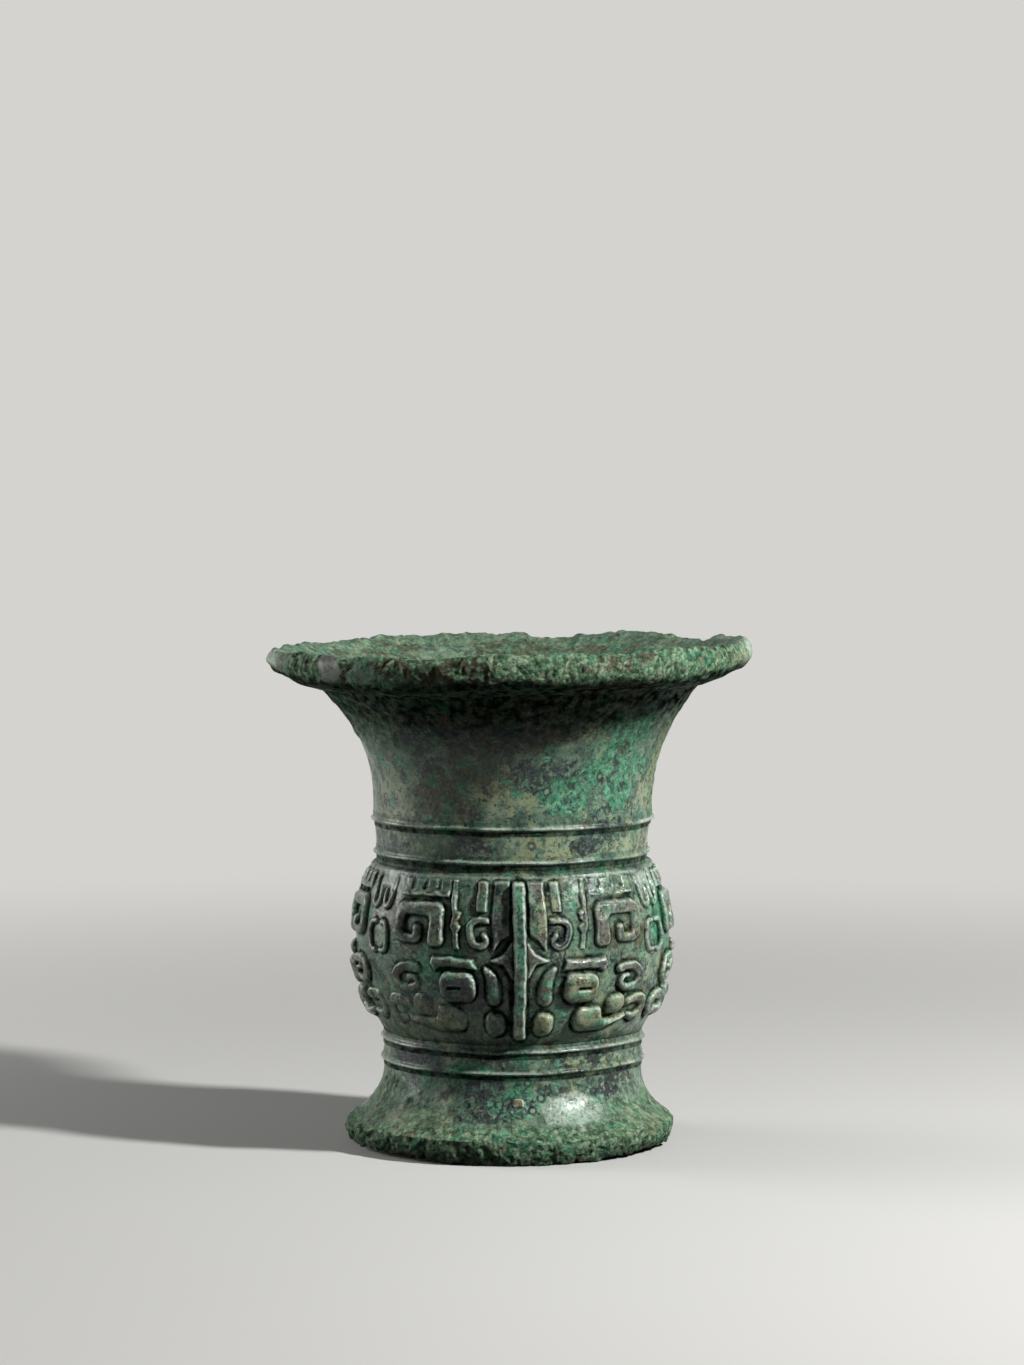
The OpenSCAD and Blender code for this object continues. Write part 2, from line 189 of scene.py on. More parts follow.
# The patch at (0, 218) is painted shade under the brim.
EARTH_AND_SHADE_PATCHES = (
    (0, 218, 100, 30), (-22, 188, 44, 40), (-40, 176, 30, 18), (26, 230, 60, 14), (-30, 94, 30, 14),
    (45, 108, 24, 24), (-14, 244, 40, 16), (118, 244, 30, 9), (176, 244, 70, 9), (146, 242, 40, 9),
    (-150, 244, 44, 9), (-30, 247, 30, 9), (24, 247, 40, 8), (100, 182, 40, 30), (-140, 164, 40, 60),
    (178, 104, 50, 30),
)
# The patches at (-24.5, 219.5) and (-10, 210) are painted shade under the brim; those at (-7, 96) and (-21,
# 84) are painted shadow of the nose flange and painted shade round the left eye, over dark patina.
SLATE_AND_SHADE_PATCHES = (
    (-24.5, 219.5, 9, 8), (2, 120, 9, 22), (-1, 98, 8, 14), (4, 190, 22, 22), (-10, 210, 60, 18),
    (-36, 209, 34, 36), (-70, 154, 40, 16), (30, 155, 26, 9), (-10, 30, 34, 22), (14, 106, 12, 36),
    (-52, 50, 40, 14), (50, 35, 34, 12), (-7, 96, 12, 70), (-21, 84, 34, 24), (30, 49, 40, 12),
    (-20, 154, 24, 12), (125, 159, 50, 14), (-130, 164, 40, 40), (175, 154, 60, 30),
)
# The patches at (-82, 247) and (82, 247) are wear on the rim's ends; those at (-60, 130) and (62, 134) are
# painted sheen on the belly's shoulders, and the one at (22, 25) is a painted highlight on the foot.
WORN_AND_SHEEN_PATCHES = (
    (-82, 247, 40, 14), (82, 247, 30, 12), (-60, 130, 28, 14), (62, 134, 28, 14), (22, 25, 30, 16),
)
RUBBED_PATCHES = (
    (-48, 78, 70, 36), (-42, 136, 60, 10), (40, 136, 56, 10), (170, 84, 60, 40),
)
OLIVE_PATCHES = (
    (34, 82, 84, 54), (145, 84, 60, 50), (-95, 88, 60, 40),
)
# Stains of the bronze, each a field of its own; the earth and slate fields also carry painted shade
STAINS = {
    "green": GREEN_PATCHES,
    "tan": TAN_PATCHES,
    "earth": EARTH_AND_SHADE_PATCHES,
    "slate": SLATE_AND_SHADE_PATCHES,
    "olive": OLIVE_PATCHES,
}


def patches(points, places):
    """1 inside any of several patches, 0 outside."""
    return functools.reduce(np.maximum, [spot(points, *patch) for patch in places])


LIP_LOW, LIP_HIGH = (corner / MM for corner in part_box("mouth_lip"))
FOOT_EDGE_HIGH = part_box("foot_edge")[1] / MM
LIP_R = LIP_HIGH.x
BRIM_W = 16
BRIM_CRUST_W = 36
TOP_SLOPE = 0.7
UNDERSIDE_SLOPE = 0.28
RIM_MIDDLE = LIP_HIGH.z - 6
MEND = (-49, RIM_MIDDLE, 17, 19)
SMOOTH_RIM_PATCHES = ((-38, RIM_MIDDLE, 16, 16), (-78, RIM_MIDDLE, 44, 22), (76, RIM_MIDDLE, 36, 20))


def over_brim(points, slope):
    """Height of each point over a cone of a slope that rises from the inner edge of the brim."""
    _, radius, z = polar(points)
    return z - LIP_LOW.z - slope * (radius - LIP_R + BRIM_W)


def crust_on_lip(points):
    """Thick on the rim's edge, thinner over the top of the brim and where the edge is worn smooth."""
    _, radius, z = polar(points)
    edge = smoothstep(LIP_R - 7, LIP_R - 2, radius) * (1 - 0.7 * patches(points, SMOOTH_RIM_PATCHES))
    over = smoothstep(0, 4, over_brim(points, TOP_SLOPE))
    brim = smoothstep(LIP_R - BRIM_CRUST_W, LIP_R - BRIM_W, radius) * over
    return np.maximum(edge, 0.4 * brim) * (z > LIP_LOW.z - 30) * (1 - spot(points, *MEND))


def crust_on_foot(points):
    """Thick on the standing edge, with a ragged upper border on the foot."""
    border = points[:, 2] - FOOT_EDGE_HIGH.z - 4 * noise(points, 24, 31)
    return 1 - smoothstep(2, 9, border)


def crust(points):
    """How thickly each point is crusted, from 0 to 1."""
    return np.maximum.reduce([
        crust_on_lip(points), crust_on_foot(points), 0.75 * patches(points, CRUST_PATCHES)])


# Wear and tear of the cast shape

LIP_SHIFT = -1.9
LIP_TILT = 0.018
LIP_NOD = 0.009
FOOT_SHIFT = -1.0
LEANING_NECK_L = 35
LEANING_FOOT_L = 44
# Broken dips of the rim: azimuth, half width in degrees and depth of each
RIM_DIPS = ((166, 5, 2.8), (153, 3, 0.9), (122, 8, 2.4), (-126, 26, 0.6))
DIP_FADE = 3
# Where the rim and the standing edge are worn away from below: azimuth, half widths in degrees of the part
# that is fully worn and of all of it, and height lost
RIM_LOSSES = ((-96, 16, 40, 4.0), (90, 20, 52, 2.8))
FOOT_LOSSES = ((86, 32, 80, 3.2), (-90, 30, 84, 2.6))
# Dents of the whole vessel and lumps of the crust: depth, size and seed of each
DENTS = ((0.6, 46, 1), (0.3, 17, 4), (0.1, 5, 7))
LUMPS = ((1.0, 15, 20), (0.55, 5.6, 23), (0.25, 2.4, 26))
CRUST_RISE = 0.4
PIT_DEPTH = 1.2


def lean(points):
    """The mouth sits a little to the left and tilts left and back, and the foot sits a little to the left."""
    z = points[:, 2]
    mouth = smoothstep(LIP_LOW.z - LEANING_NECK_L, LIP_HIGH.z, z)
    foot = 1 - smoothstep(0, LEANING_FOOT_L, z)
    moved = points.copy()
    moved[:, 0] += mouth * LIP_SHIFT + foot * FOOT_SHIFT
    moved[:, 2] += mouth * (LIP_TILT * points[:, 0] - LIP_NOD * (points[:, 1] + LIP_R))
    return moved


def turned_from(turn, azimuth):
    """Degrees between a turn and an azimuth, the shorter way round."""
    return np.abs((turn - azimuth + 180) % 360 - 180)


def rim_waves(points):
    """Height lost or gained along the worn rim."""
    turn, radius, z = polar(points)
    on_rim = smoothstep(LIP_R - 24, LIP_R - 4, radius) * smoothstep(-4, 2, z - LIP_LOW.z)
    flat = points * (1, 1, 0)
    lost = np.zeros(len(points))
    for azimuth, half_width, depth in RIM_DIPS:
        lost += depth * smoothstep(half_width + DIP_FADE, half_width, turned_from(turn, azimuth))
    lost *= smoothstep(4, 12, z - LIP_LOW.z)
    return on_rim * (0.7 * noise(flat, 34, 11) + 0.5 * noise(flat, 13, 12) - lost)


def worn_away(turn, losses):
    """Height lost at each turn to several losses."""
    return sum(
        height * smoothstep(whole, worn_and_sheen, turned_from(turn, azimuth))
        for azimuth, worn_and_sheen, whole, height in losses)


def worn_underside(points):
    """Height lost from below by the rim and the standing edge."""
    turn, radius, z = polar(points)
    on_rim = smoothstep(LIP_R - 16, LIP_R - 3, radius) * smoothstep(15, 5, z - LIP_LOW.z)
    on_foot = smoothstep(FOOT_EDGE_HIGH.z, 0, z)
    return on_rim * worn_away(turn, RIM_LOSSES) + on_foot * worn_away(turn, FOOT_LOSSES)


def pits(points):
    """How deep each point lies in a pit of the crust, from 0 to 1."""
    fine = noise(points, 1.7, 62)
    wide = smoothstep(0.2, 0.7, noise(points, 4.2, 61) + 0.5 * fine)
    return np.maximum(wide, 0.6 * smoothstep(0.2, 0.6, fine))


def uneven(points, waves):
    """The sum of several drifts, each with a depth, size and seed."""
    return sum(depth * drift(points, size, seed) for depth, size, seed in waves)


def weathered(points, thick, pitted):
    """Where each point of the cast shape is now, under crust of a thickness."""
    moved = lean(points)
    moved[:, 2] += rim_waves(points) + worn_underside(points)
    moved += uneven(points, DENTS)
    rough = thick > 0
    some = points[rough]
    turn, _, z = polar(some)
    outward = place(turn, 0.8, 0.6 * np.sign(z - LIP_LOW.z / 2))
    rise = CRUST_RISE - PIT_DEPTH * pitted[rough, None]
    moved[rough] += thick[rough, None] * (uneven(some, LUMPS) + rise * outward)
    moved[:, 2] = np.maximum(moved[:, 2], 0)
    return moved


# Meshes of the walls

# Share of a string's height by which its foot spreads, depth of its back, and the shape of its ridge
STRING_SPREAD = 0.55
STRING_SINK = 1.2
STRING_STEPS = 14
RIDGE_RISE = 1.05
RIDGE_WIDTH = 0.28
RIDGE_INSET = 0.12


def node_points(node):
    """The points of the node's solid, in millimetres."""
    mesh = frame["nodes"][node].data
    points = np.empty(len(mesh.vertices) * 3)
    mesh.vertices.foreach_get("co", points)
    return points.reshape(-1, 3) / MM


def section(node):
    """The node's profile where x > 0 and y = 0: a loop of (radius, height) points, solid on its left."""
    points = node_points(node)
    on_plane = (abs(points[:, 1]) < TINY) & (points[:, 0] > 0)
    corners = [tuple(p) for p in np.round(points[:, [0, 2]], 3)]
    links = {corners[i]: set() for i in np.flatnonzero(on_plane)}
    for edge in frame["nodes"][node].data.edges:
        a, b = edge.vertices
        if on_plane[a] and on_plane[b] and corners[a] != corners[b]:
            links[corners[a]].add(corners[b])
            links[corners[b]].add(corners[a])
    loose = set(links)
    loop = [min(loose)]
    while loose:
        here = loop[-1]
        loose.discard(here)
        onward = (links[here] & loose) or {p for p in loose if len(links[p]) < 2}
        if not onward:
            break
        loop.append(min(onward, key=lambda p: math.dist(p, here)))
    loop = np.array(loop)
    x, z = loop.T
    area = np.sum(x * np.roll(z, -1) - z * np.roll(x, -1))
    return loop if area > 0 else loop[::-1]


def smooth_run(points, step):
    """Points about a step apart on a smooth curve through the given ones, without the last."""
    s = np.concatenate([[0], np.cumsum(np.linalg.norm(np.diff(points, axis=0), axis=1))])
    slope = np.gradient(points, s, axis=0)
    t = np.linspace(0, s[-1], max(1, round(s[-1] / step)) + 1)[:-1]
    i = np.searchsorted(s, t, side="right") - 1
    h = (s[i + 1] - s[i])[:, None]
    u = (t - s[i])[:, None] / h
    return ((1 + 2 * u) * (1 - u) ** 2 * points[i] + u * (1 - u) ** 2 * h * slope[i]
            + u * u * (3 - 2 * u) * points[i + 1] + u * u * (u - 1) * h * slope[i + 1])


def seam_corners(loop):
    """The profile's corners where one casting section meets the next or the table."""
    heights = {0} | {round(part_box(node)[1].z / MM, 2) for node in ("foot_edge", "foot", "belly")}
    lip_seat = min(section("mouth_lip")[:, 0])
    return [i for i, (r, z) in enumerate(loop)
            if any(abs(z - h) < 0.02 for h in heights) or abs(r - lip_seat) < 0.02]


def fine_profile(node):
    """The node's profile with close points, smooth between its seam corners."""
    loop = section(node)
    ends = seam_corners(loop)
    loop = np.roll(loop, -ends[0], axis=0)
    ends = [i - ends[0] for i in ends] + [len(loop)]
    loop = np.vstack([loop, loop[:1]])
    runs = []
    for first, last in zip(ends, ends[1:]):
        climbs = loop[last, 1] > loop[first, 1]
        runs.append(smooth_run(loop[first:last + 1], OUTSIDE_STEP if climbs else INSIDE_STEP))
    return np.vstack(runs)


def revolve(loop):
    """Points and quads of a closed ring with the loop as its section."""
    turn = np.linspace(0, 360, TURN_STEPS, endpoint=False)[:, None]
    points = place(turn, *loop.T).reshape(-1, 3)
    k, i = np.meshgrid(np.arange(TURN_STEPS), np.arange(len(loop)), indexing="ij")
    k_next, i_next = (k + 1) % TURN_STEPS, (i + 1) % len(loop)
    corners = [k * len(loop) + i, k_next * len(loop) + i, k_next * len(loop) + i_next, k * len(loop) + i_next]
    return points, np.stack(corners, axis=2).reshape(-1, 4)


def string_profile(node):
    """A rounded ridge that fades into the wall above and below, with its back inside the wall."""
    loop = section(node)
    low, high = loop[np.argmin(loop[:, 1])], loop[np.argmax(loop[:, 1])]
    along = np.linspace(-STRING_SPREAD, 1 + STRING_SPREAD, STRING_STEPS)[:, None]
    wall = low + (high - low) * along
    rise = np.max(loop[:, 0]) - (low[0] + high[0]) / 2
    wall[:, 0] += rise * RIDGE_RISE * np.exp(-((along[:, 0] - 0.5) / RIDGE_WIDTH) ** 2) - RIDGE_INSET
    back = wall[[-1, 0]] - (STRING_SINK, 0)
    return np.vstack([wall, back])


# Relief of the masks

BELLY_LOW, BELLY_HIGH = (round(corner.z / MM, 2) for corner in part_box("belly"))
STRING_HEIGHTS = [(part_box(node)[0].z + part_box(node)[1].z) / 2 / MM for node in STRINGS]
SHOULDER_DROP = 2.2
RELIEF_SINK = 1.3
RELIEF_FADE = 0.12
RUBBED_SHARE = 0.6
MASK_REACH = 63
FAR = 200
TURN_CELLS = round(360 / TURN_CELL)
GRID_TURN = np.arange(-MASK_REACH, MASK_REACH + TURN_CELL / 2, TURN_CELL)
GRID_RISE = np.arange(BELLY_LOW, BELLY_HIGH, RISE_CELL)


def belly_ground():
    """Heights and radii of the belly's outer wall, the side of its profile that climbs."""
    loop = section("belly")
    climbs = np.roll(loop[:, 1], -1) > np.roll(loop[:, 1], 1)
    outer = loop[climbs]
    return outer[np.argsort(outer[:, 1])].T[::-1]


GROUND_Z, GROUND_R = belly_ground()
GRID_GROUND = np.interp(GRID_RISE, GROUND_Z, GROUND_R)


def blurred(grid, rounds):
    """The grid averaged with its neighbours, round the turn and up the wall."""
    for _ in range(rounds):
        grid = (np.roll(grid, 1, 0) + 2 * grid + np.roll(grid, -1, 0)) / 4
        padded = np.pad(grid, ((0, 0), (1, 1)), mode="edge")
        grid = (padded[:, :-2] + 2 * grid + padded[:, 2:]) / 4
    return grid


def shrunk(inside, square):
    """The cells whose neighbours are inside too, with or without those at the corners."""
    kept = inside
    for axis in (0, 1):
        source = kept if square else inside
        kept = kept & np.roll(source, 1, axis) & np.roll(source, -1, axis)
    return kept


def rounded_over(height, width):
    """The same heights with their edges rounded over a width."""
    inside = height > RELIEF_FADE
    steps = round(width / RISE_CELL)
    depth = np.zeros(height.shape)
    for step in range(steps):
        depth += inside / steps
        inside = shrunk(inside, step % 2 == 1)
    return height * np.sqrt(1 - (1 - depth) ** 2)


@functools.lru_cache(maxsize=None)
def feature_height(feature):
    """Height of a feature over the belly's wall on the grid of a mask, from the front mask's solid."""
    node = "front_" + feature
    points = node_points(node)
    faces = [face.vertices[:] for face in frame["nodes"][node].data.polygons]
    solid = BVHTree.FromPolygons(points.tolist(), faces)
    turn, _, z = polar(points)
    height = np.zeros((len(GRID_TURN), len(GRID_RISE)))
    for i in np.flatnonzero((GRID_TURN > turn.min()) & (GRID_TURN < turn.max())):
        out = Vector(place(GRID_TURN[i], 1, 0))
        for j in np.flatnonzero((GRID_RISE > z.min()) & (GRID_RISE < z.max())):
            hit = solid.ray_cast(out * FAR + Vector((0, 0, GRID_RISE[j])), -out)[0]
            if hit:
                height[i, j] = hit.xy.length - GRID_GROUND[j]
    width, softenings = EDGES[feature]
    return blurred(rounded_over(height, width), softenings)


@functools.lru_cache(maxsize=None)
def rubbed_down(mask_turn):
    """Share of a mask's relief that is lost, on its grid."""
    turn, z = np.meshgrid(GRID_TURN + mask_turn, GRID_RISE, indexing="ij")
    wall = place(turn, GRID_GROUND, z)
    return RUBBED_SHARE * patches(wall.reshape(-1, 3), RUBBED_PATCHES).reshape(turn.shape)


def mask_height(feature, mask_turn):
    """Height of a feature that is left on one of the masks, on its grid."""
    return feature_height(feature) * (1 - rubbed_down(mask_turn))


def belly_relief():
    """Height of all the relief, on a grid right round the belly."""
    relief = np.zeros((TURN_CELLS, len(GRID_RISE)))
    for mask_turn in MASKS.values():
        columns = (round((mask_turn - MASK_REACH) / TURN_CELL) + np.arange(len(GRID_TURN))) % TURN_CELLS
        for feature in EDGES:
            relief[columns] = np.maximum(relief[columns], mask_height(feature, mask_turn))
    return relief


# Height of the relief, how far it stands out from its edges, and how far it lies below what is round it
RELIEF = belly_relief()
RIMS = RELIEF - blurred(RELIEF, 6)
HOLLOWS = blurred(RELIEF, 50) - RELIEF


def on_belly(grid, points):
    """The grid's value at each point."""
    turn, _, z = polar(points)
    up = np.clip(np.round((z - BELLY_LOW) / RISE_CELL), 0, len(GRID_RISE) - 1).astype(int)
    return grid[np.round(turn / TURN_CELL).astype(int) % TURN_CELLS, up]


def relief_grime_and_shade(points):
    """Dirt and painted shade in the corners and in the hollows between the features."""
    corners = smoothstep(0.01, 0.16, -on_belly(RIMS, points))
    return np.maximum(corners, 0.92 * smoothstep(0.08, 0.8, on_belly(HOLLOWS, points)))


def string_shadow(points):
    """Painted shadow under the strings and painted shade in the corners above and below the belly."""
    z = points[:, 2]
    near = [np.exp(-((z - height + 1.5) / 1.6) ** 2) for height in STRING_HEIGHTS]
    corners = [np.exp(-((z - height) / 2.5) ** 2) for height in (BELLY_LOW + 1, BELLY_HIGH + 1)]
    return np.clip(0.8 * sum(near) + 0.6 * sum(corners), 0, 1)


def lip_shadow(points):
    """Painted shade under the overhang of the brim, thinning down the neck."""
    under = smoothstep(3, 0.5, over_brim(points, UNDERSIDE_SLOPE))
    return 0.95 * under * smoothstep(-44, -6, points[:, 2] - LIP_LOW.z)


def outside_belly(points):
    """Whether each point lies on the outer side of the belly's wall."""
    _, radius, z = polar(points)
    return radius > np.interp(z, GROUND_Z, GROUND_R) - 1


def shoulder_line(points):
    """Wear and a painted highlight along the edge of the belly's shoulder."""
    line = np.exp(-((points[:, 2] - BELLY_HIGH + SHOULDER_DROP) / 0.7) ** 2)
    return 0.8 * line * smoothstep(-0.4, 0.4, noise(points, 14, 52)) * outside_belly(points)


# Pieces


def add_piece(node, points, faces, fields):
    """A closed mesh that stands for a node, with its fields as attributes."""
    mesh = bpy.data.meshes.new(node + "_cast")
    mesh.from_pydata(points * MM, [], faces.tolist())
    mesh.shade_smooth()
    mesh.set_sharp_from_angle(angle=math.radians(60))
    for field, values in fields.items():
        mesh.attributes.new(field, "FLOAT", "POINT").data.foreach_set("value", values.astype(np.float32))
    piece = bpy.data.objects.new(node + "_cast", mesh)
    bpy.context.scene.collection.objects.link(piece)
    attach(piece, "root")
    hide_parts(node)
    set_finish(piece, SLOT_OF[node])


def finish_piece(node, points, faces, grime=0, wear=0, top=0):
    """A weathered piece for a node, with the fields from 0 to 1 that its material reads."""
    thick = crust(points)
    pitted = pits(points)
    fields = {
        "crust": thick,
        "top": np.zeros(len(points)) + top,
        # Dirt in the crust's pits, on top of the dirt and painted shade passed in
        "grime": np.maximum(grime, 0.5 * pitted * smoothstep(0.2, 0.7, thick)),
        "wear": np.maximum(wear, 0.7 * patches(points, WORN_AND_SHEEN_PATCHES)),
        "mend": spot(points, *MEND),
    }
    fields.update({stain: patches(points, places) for stain, places in STAINS.items()})
    add_piece(node, weathered(points, thick, pitted), faces, fields)


# Unevenness of the relief: depth, size and seed of each wave
RELIEF_WAVES = ((0.35, 4.2, 41), (0.45, 12, 44))
# Corners of a grid cell, and the cell across each of its sides
CORNERS = ((0, 0), (1, 0), (1, 1), (0, 1))
ACROSS = ((0, -1), (1, 0), (0, 1), (-1, 0))


def without_pinches(active):
    """The cells, with each pair that meets only at a corner joined."""
    low, right, up, far = active[:-1, :-1], active[1:, :-1], active[:-1, 1:], active[1:, 1:]
    while True:
        rising = low & far & ~right & ~up
        falling = right & up & ~low & ~far
        if not rising.any() and not falling.any():
            return active
        right |= rising
        low |= falling


def plate(active, outer, inner):
    """Points and quads of a closed plate over a grid's active cells, between its outer and inner points."""
    cells = np.argwhere(active)
    used = np.zeros(outer.shape[:2], dtype=bool)
    for corner in CORNERS:
        used[tuple((cells + corner).T)] = True
    count = np.count_nonzero(used)
    number = np.zeros(used.shape, dtype=int)
    number[used] = np.arange(count)
    top = np.stack([number[tuple((cells + corner).T)] for corner in CORNERS], axis=1)
    padded = np.pad(active, 1)
    sides = []
    for k, across in enumerate(ACROSS):
        open_side = ~padded[tuple((cells + across + 1).T)]
        first, second = top[open_side, k], top[open_side, (k + 1) % 4]
        sides.append(np.stack([second, first, first + count, second + count], axis=1))
    return np.vstack([outer[used], inner[used]]), np.vstack([top, top[:, ::-1] + count, *sides])


def add_relief(node, feature, mask_turn):
    """A feature as a soft raised plate with its back sunk into the wall."""
    turn, z = np.meshgrid(GRID_TURN + mask_turn, GRID_RISE, indexing="ij")
    height = mask_height(feature, mask_turn)
    near = height > RELIEF_FADE / 2
    active = without_pinches(near[:-1, :-1] | near[1:, :-1] | near[:-1, 1:] | near[1:, 1:])
    outer = place(turn, GRID_GROUND + height - RELIEF_FADE, z)
    inner = place(turn, GRID_GROUND - RELIEF_SINK, z)
    points, faces = plate(active, outer, inner)
    rise = on_belly(RELIEF, points)
    ragged = points + uneven(points, RELIEF_WAVES) * smoothstep(0, 0.8, rise)[:, None]
    # The rims are paler with wear, and dirt and painted shade darken the hollows round the feature.
    wear = smoothstep(0.04, 0.3, on_belly(RIMS, points))
    finish_piece(node, ragged, faces, relief_grime_and_shade(points), wear, smoothstep(0.4, 1.2, rise))


for mask, mask_turn in MASKS.items():
    for feature in EDGES:
        add_relief(f"{mask}_{feature}", feature, mask_turn)


def fine_mesh(node, outward, rounds):
    """The node's solid pushed outward, cut into small even faces and softened, in millimetres."""
    mesh = frame["nodes"][node].data.copy()
    points = node_points(node)
    turn, radius, z = polar(points)
    mesh.vertices.foreach_set("co", place(turn, radius + outward, z).ravel())
    mesh.update()
    rough = bpy.data.objects.new(node + "_rough", mesh)
    bpy.context.scene.collection.objects.link(rough)
    weld = rough.modifiers.new("weld", "WELD")
    weld.merge_threshold = 0.01
    remesh = rough.modifiers.new("remesh", "REMESH")
    remesh.mode = "VOXEL"
    remesh.voxel_size = SPACER_VOXEL
    soften = rough.modifiers.new("soften", "SMOOTH")
    soften.factor = 0.5
    soften.iterations = rounds
    result = rough.evaluated_get(bpy.context.evaluated_depsgraph_get()).data
    points = np.empty(len(result.vertices) * 3)
    result.vertices.foreach_get("co", points)
    faces = np.array([face.vertices[:] for face in result.polygons])
    bpy.data.objects.remove(rough)
    bpy.data.meshes.remove(mesh)
    return points.reshape(-1, 3), faces


def shell_grime_and_shade(shell, points):
    """Painted shade under the brim and the strings, dirt and painted shade in the hollows of the relief, and
    darker towards the bottom of the standing edge.
    """
    if shell == "foot_edge":
        return 0.2 + 0.6 * smoothstep(8, 0, points[:, 2])
    grime = np.maximum(string_shadow(points), lip_shadow(points))
    if shell == "belly":
        grime = np.maximum(grime, relief_grime_and_shade(points) * outside_belly(points))
    return grime


def add_string(node):
    """A string band with wear along its ridge and painted shade beside it, most of it below as the ridge's
    painted shadow.
    """
    profile = string_profile(node)
    wall = profile[:-2]
    points, faces = revolve(profile)
    ridge = np.tile(smoothstep(0.3, 1, profile[:, 0] - np.min(wall[:, 0])), TURN_STEPS)
    below = smoothstep(0.8, -0.8, points[:, 2] - np.mean(wall[:, 1]))
    patchy = smoothstep(-0.3, 0.5, noise(points, 11, 51))
    finish_piece(node, points, faces, (1 - ridge) * (0.3 + 0.6 * below), 0.75 * ridge * patchy)


for shell in SHELLS:
    points, faces = revolve(fine_profile(shell))
    wear = shoulder_line(points) if shell == "belly" else 0
    finish_piece(shell, points, faces, shell_grime_and_shade(shell, points), wear)

for string in STRINGS:
    add_string(string)


DISH_DIP = 1.0
DISH_AXIS_R = 0.4


def add_floor():
    """The belly's floor, a shallow dish."""
    low, high = (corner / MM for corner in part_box("belly_floor"))
    half = np.array([
        (DISH_AXIS_R, low.z),
        (high.x, low.z),
        (high.x, high.z),
        (high.x / 2, high.z - DISH_DIP),
        (DISH_AXIS_R, high.z - DISH_DIP),
    ])
    runs = [smooth_run(half[i:i + 2], INSIDE_STEP) for i in range(len(half) - 1)]
    points, faces = revolve(np.vstack([*runs, half[-1:]]))
    finish_piece("belly_floor", points, faces, 0.5)


add_floor()


def spacer_rim(node, points):
    """1 round the end of each bar, seen from outside, and 0 within."""
    low, high = (corner.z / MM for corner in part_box(node))
    turn, radius, z = polar(points)
    across = radius * np.sin(np.radians((turn + 60) % 120 - 60)) / SPACER_HALF_L
    return smoothstep(0.6, 0.95, np.hypot(across, (2 * z - low - high) / (high - low)))


for spacer, (dirt_and_shade, rim_wear) in SPACERS.items():
    points, faces = fine_mesh(spacer, SPACER_PROUD, SPACER_SOFTENINGS)
    ragged = points + 0.5 * drift(points, 2.6, 81)
    finish_piece(spacer, ragged, faces, dirt_and_shade, rim_wear * spacer_rim(spacer, points))


# Materials


def srgb(red, green, blue):
    """A colour given in 0 to 255 screen values, as the shader's linear colour."""
    screen = [value / 255 for value in (red, green, blue)]
    linear = [v / 12.92 if v <= 0.04045 else ((v + 0.055) / 1.055) ** 2.4 for v in screen]
    return (*linear, 1)


DARK = srgb(9, 15, 11)
PALE = srgb(172, 184, 160)
TAN = srgb(152, 162, 126)
WORN_AND_SHEEN = srgb(202, 217, 200)
MEND_TONE = srgb(114, 108, 99)

# Tones of each layer, from the darkest to the palest, at the noise values where they lie
BRONZE_TONES = (
    (0.34, srgb(46, 64, 54)),
    (0.45, srgb(78, 104, 88)),
    (0.54, srgb(106, 134, 112)),
    (0.66, srgb(150, 168, 140)),
)
CRUST_TONES = (
    (0.36, srgb(46, 68, 50)),
    (0.46, srgb(90, 122, 92)),
    (0.54, srgb(128, 160, 126)),
    (0.66, srgb(176, 196, 164)),
)
GREEN_TONES = ((0.36, srgb(40, 94, 70)), (0.5, srgb(68, 138, 104)), (0.64, srgb(118, 186, 148)))
SLATE_TONES = ((0.38, srgb(16, 26, 28)), (0.62, srgb(54, 70, 76)))
EARTH_TONES = ((0.36, srgb(38, 42, 28)), (0.5, srgb(72, 72, 48)), (0.64, srgb(122, 116, 84)))
RUST_TONES = ((0.4, srgb(58, 46, 36)), (0.6, srgb(126, 104, 88)))
OLIVE_TONES = ((0.34, srgb(84, 90, 62)), (0.48, srgb(136, 140, 102)), (0.64, srgb(166, 176, 138)))
COPPER_TONES = ((0.36, srgb(84, 62, 34)), (0.5, srgb(136, 102, 58)), (0.64, srgb(172, 146, 100)))
CUPRITE_TONES = ((0.36, srgb(70, 66, 62)), (0.5, srgb(98, 92, 84)), (0.64, srgb(132, 128, 116)))

# By material slot: ground tones, gloss, tones of the relief's tops, their share, strength of the corrosion
BRONZES = {
    "smooth_patina": (BRONZE_TONES, 0.22, BRONZE_TONES, 0, 1),
    "crusted_edge": (BRONZE_TONES, 0.42, BRONZE_TONES, 0, 1),
    "rubbed_relief": (BRONZE_TONES, 0.2, CUPRITE_TONES, 0.85, 1),
    "polished_relief": (BRONZE_TONES, 0.18, OLIVE_TONES, 0.95, 1),
    "spacer_copper": (COPPER_TONES, 0.4, COPPER_TONES, 0, 0.25),
}
GLOSS_SPREAD = 0.16
SMOOTHEST, ROUGHEST = 0.13, 0.92
SPECULAR = 0.4
COAT = 0.08
COAT_ROUGHNESS = 0.25
BUMP_DEPTH = 1.2


